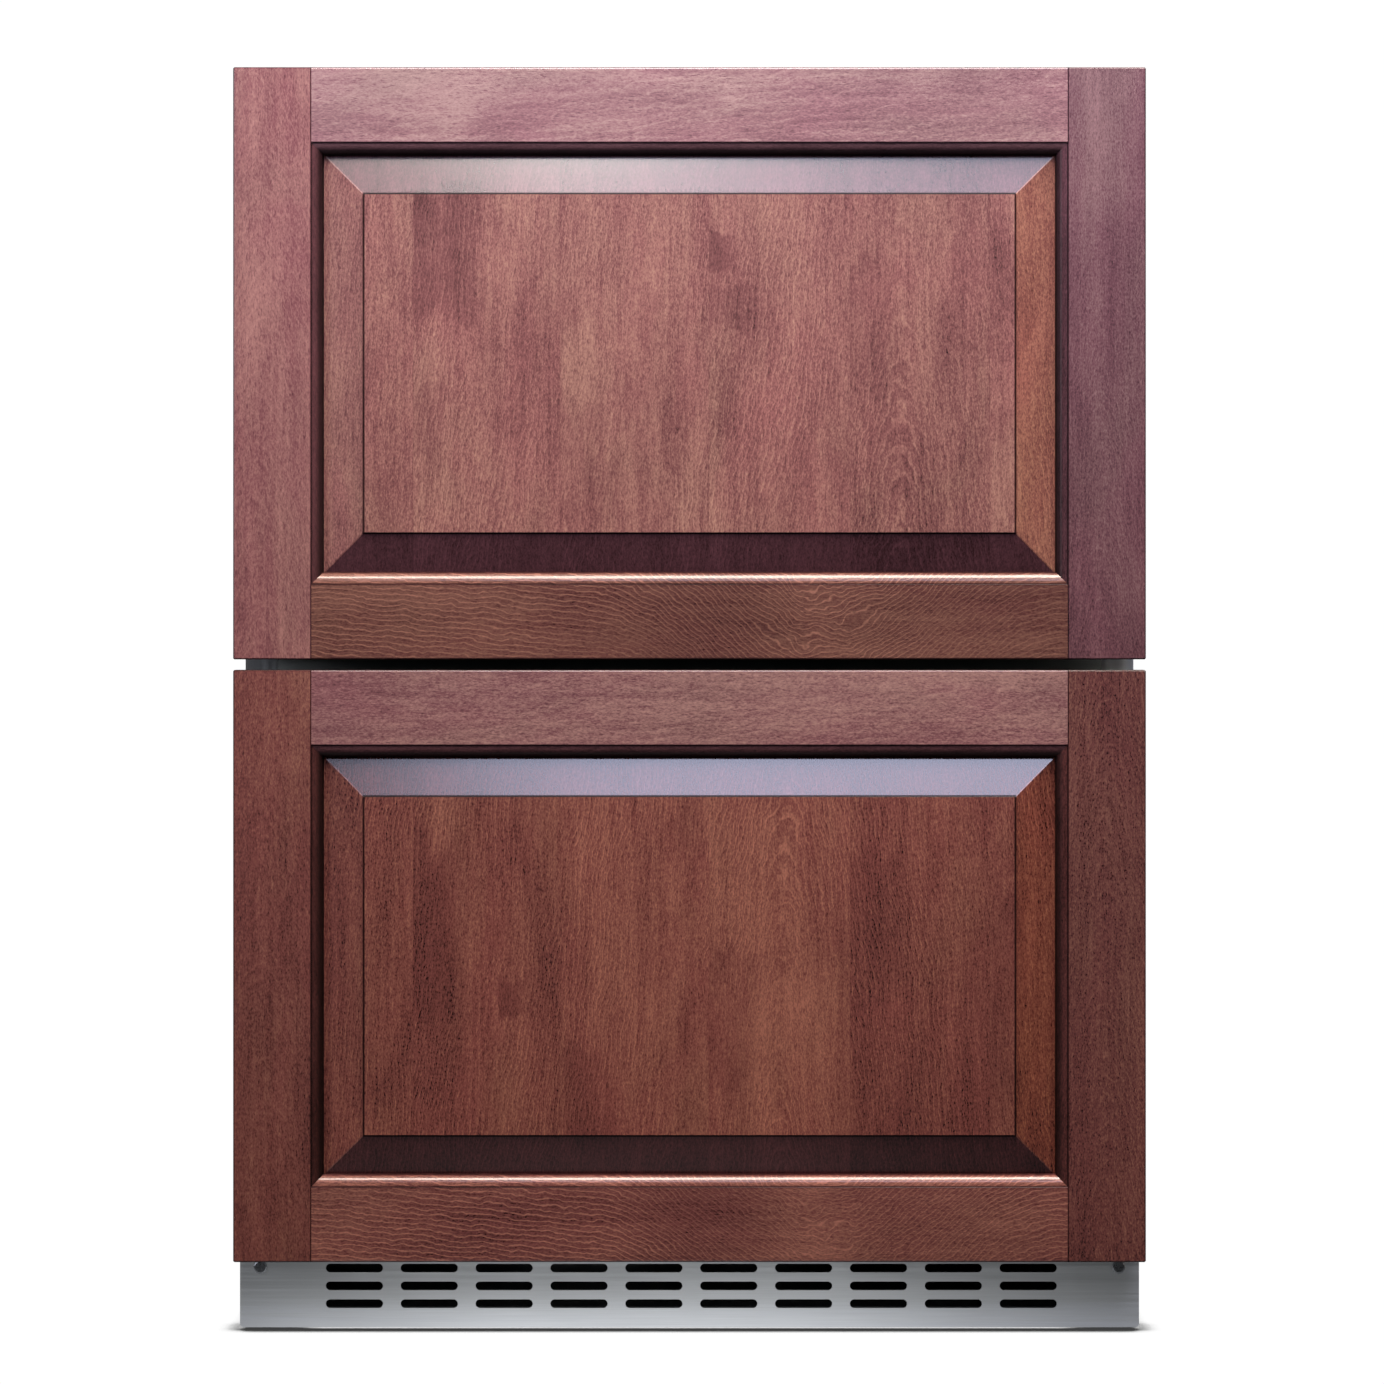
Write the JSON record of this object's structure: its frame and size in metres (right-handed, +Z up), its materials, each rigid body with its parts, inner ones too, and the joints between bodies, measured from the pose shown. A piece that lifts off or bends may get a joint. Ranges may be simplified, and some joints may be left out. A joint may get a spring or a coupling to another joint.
{
  "type": "under counter fridge",
  "caption": "Under-counter refrigerator whose stacked pull-out drawers wear framed, raised-panel wooden fronts above a slotted steel kick plate.",
  "frame": {"origin": "on the floor, under the middle of the object's width and depth", "axes": "+X to the right of somebody who faces the drawers, +Y from the fronts to the back, +Z up"},
  "size_m": [0.597, 0.61, 0.832],
  "materials": {
    "stile_wood": "satin",
    "rail_wood": "satin",
    "panel_wood": "satin",
    "cabinet_steel": "satin",
    "kick_stainless": "satin",
    "box_stainless": "satin",
    "door_steel": "satin",
    "galvanised_steel": "satin",
    "slide_steel": "satin",
    "screw_steel": "satin",
    "foot_steel": "satin",
    "compressor_black": "satin",
    "motor_metal": "satin",
    "coil_metal": "satin",
    "copper": "satin",
    "liner_plastic": "satin",
    "door_liner_plastic": "satin",
    "mullion_black": "satin",
    "black_plastic": "matte",
    "fan_plastic": "satin",
    "lamp_plastic": "satin",
    "control_plastic": "gloss",
    "key_plastic": "satin",
    "black_rubber": "matte",
    "gasket_rubber": "matte",
    "foam": "matte"
  },
  "bodies": {
    "cabinet": {"cabinet_shell": "cabinet_steel", "back_panel": "galvanised_steel", "inner_liner": "liner_plastic", "foam_insulation": "foam", "mullion_bar": "mullion_black", "underbody_sheet": "galvanised_steel", "base_pan": "galvanised_steel", "kick_plate": "kick_stainless", "rear_cover": "galvanised_steel", "casing_screws": "screw_steel", "cabinet_slide_rails": "slide_steel", "compressor": "compressor_black", "compressor_grommets": "black_rubber", "terminal_cover": "black_plastic", "condenser_coil": "coil_metal", "condenser_fan_shroud": "black_plastic", "condenser_fan_motor": "motor_metal", "refrigerant_lines": "copper", "evaporation_tray": "black_plastic", "power_gland": "black_plastic", "evaporator_coil": "coil_metal", "evaporator_cover": "liner_plastic", "evaporator_fan_motor": "motor_metal", "interior_lamp": "lamp_plastic", "control_housing": "control_plastic"},
    "upper_drawer": {"upper_left_stile": "stile_wood", "upper_right_stile": "stile_wood", "upper_top_rail": "rail_wood", "upper_bottom_rail": "rail_wood", "upper_centre_panel": "panel_wood", "upper_panel_screws": "screw_steel", "upper_door_pan": "door_steel", "upper_door_foam": "foam", "upper_door_liner": "door_liner_plastic", "upper_door_gasket": "gasket_rubber", "upper_drawer_box": "box_stainless", "upper_box_rails": "slide_steel"},
    "upper_slide_middles": {"upper_middle_rails": "slide_steel"},
    "lower_drawer": {"lower_left_stile": "stile_wood", "lower_right_stile": "stile_wood", "lower_top_rail": "rail_wood", "lower_bottom_rail": "rail_wood", "lower_centre_panel": "panel_wood", "lower_panel_screws": "screw_steel", "lower_door_pan": "door_steel", "lower_door_foam": "foam", "lower_door_liner": "door_liner_plastic", "lower_door_gasket": "gasket_rubber", "lower_drawer_box": "box_stainless", "lower_box_rails": "slide_steel"},
    "lower_slide_middles": {"lower_middle_rails": "slide_steel"},
    "condenser_fan": {"condenser_fan_blades": "fan_plastic"},
    "evaporator_fan": {"evaporator_fan_blades": "fan_plastic"},
    "front_left_foot": {"foot_front_left": "foot_steel"},
    "front_right_foot": {"foot_front_right": "foot_steel"},
    "rear_left_foot": {"foot_rear_left": "foot_steel"},
    "rear_right_foot": {"foot_rear_right": "foot_steel"},
    "power_key": {"key_power": "key_plastic"},
    "colder_key": {"key_colder": "key_plastic"},
    "warmer_key": {"key_warmer": "key_plastic"}
  },
  "joints": [
    {"name": "upper_drawer_slide", "type": "slide", "parent": "cabinet", "child": "upper_drawer", "axis": [0, -1, 0], "range_m": [0, 0.4]},
    {"name": "upper_middle_slide", "type": "slide", "parent": "cabinet", "child": "upper_slide_middles", "axis": [0, -1, 0], "range_m": [0, 0.2]},
    {"name": "lower_drawer_slide", "type": "slide", "parent": "cabinet", "child": "lower_drawer", "axis": [0, -1, 0], "range_m": [0, 0.4]},
    {"name": "lower_middle_slide", "type": "slide", "parent": "cabinet", "child": "lower_slide_middles", "axis": [0, -1, 0], "range_m": [0, 0.2]},
    {"name": "condenser_fan_spin", "type": "hinge", "parent": "cabinet", "child": "condenser_fan", "pos_m": [-0.178, 0.198, 0.122], "axis": [1, 0, 0], "continuous": true},
    {"name": "evaporator_fan_spin", "type": "hinge", "parent": "cabinet", "child": "evaporator_fan", "pos_m": [0, 0.236, 0.68], "axis": [0, 1, 0], "continuous": true},
    {"name": "front_left_foot_turn", "type": "hinge", "parent": "cabinet", "child": "front_left_foot", "pos_m": [-0.258, -0.196, 0.006], "axis": [0, 0, 1], "continuous": true},
    {"name": "front_right_foot_turn", "type": "hinge", "parent": "cabinet", "child": "front_right_foot", "pos_m": [0.258, -0.196, 0.006], "axis": [0, 0, 1], "continuous": true},
    {"name": "rear_left_foot_turn", "type": "hinge", "parent": "cabinet", "child": "rear_left_foot", "pos_m": [-0.258, 0.27, 0.006], "axis": [0, 0, 1], "continuous": true},
    {"name": "rear_right_foot_turn", "type": "hinge", "parent": "cabinet", "child": "rear_right_foot", "pos_m": [0.258, 0.27, 0.006], "axis": [0, 0, 1], "continuous": true},
    {"name": "power_key_press", "type": "slide", "parent": "cabinet", "child": "power_key", "axis": [0, 1, 0], "range_m": [0, 0.0012], "stiffness_N_per_m": 1200},
    {"name": "colder_key_press", "type": "slide", "parent": "cabinet", "child": "colder_key", "axis": [0, 1, 0], "range_m": [0, 0.0012], "stiffness_N_per_m": 1200},
    {"name": "warmer_key_press", "type": "slide", "parent": "cabinet", "child": "warmer_key", "axis": [0, 1, 0], "range_m": [0, 0.0012], "stiffness_N_per_m": 1200}
  ],
  "couplings": [
    {"joint": "upper_middle_slide", "follows": "upper_drawer_slide", "ratio": 0.5},
    {"joint": "lower_middle_slide", "follows": "lower_drawer_slide", "ratio": 0.5}
  ]
}
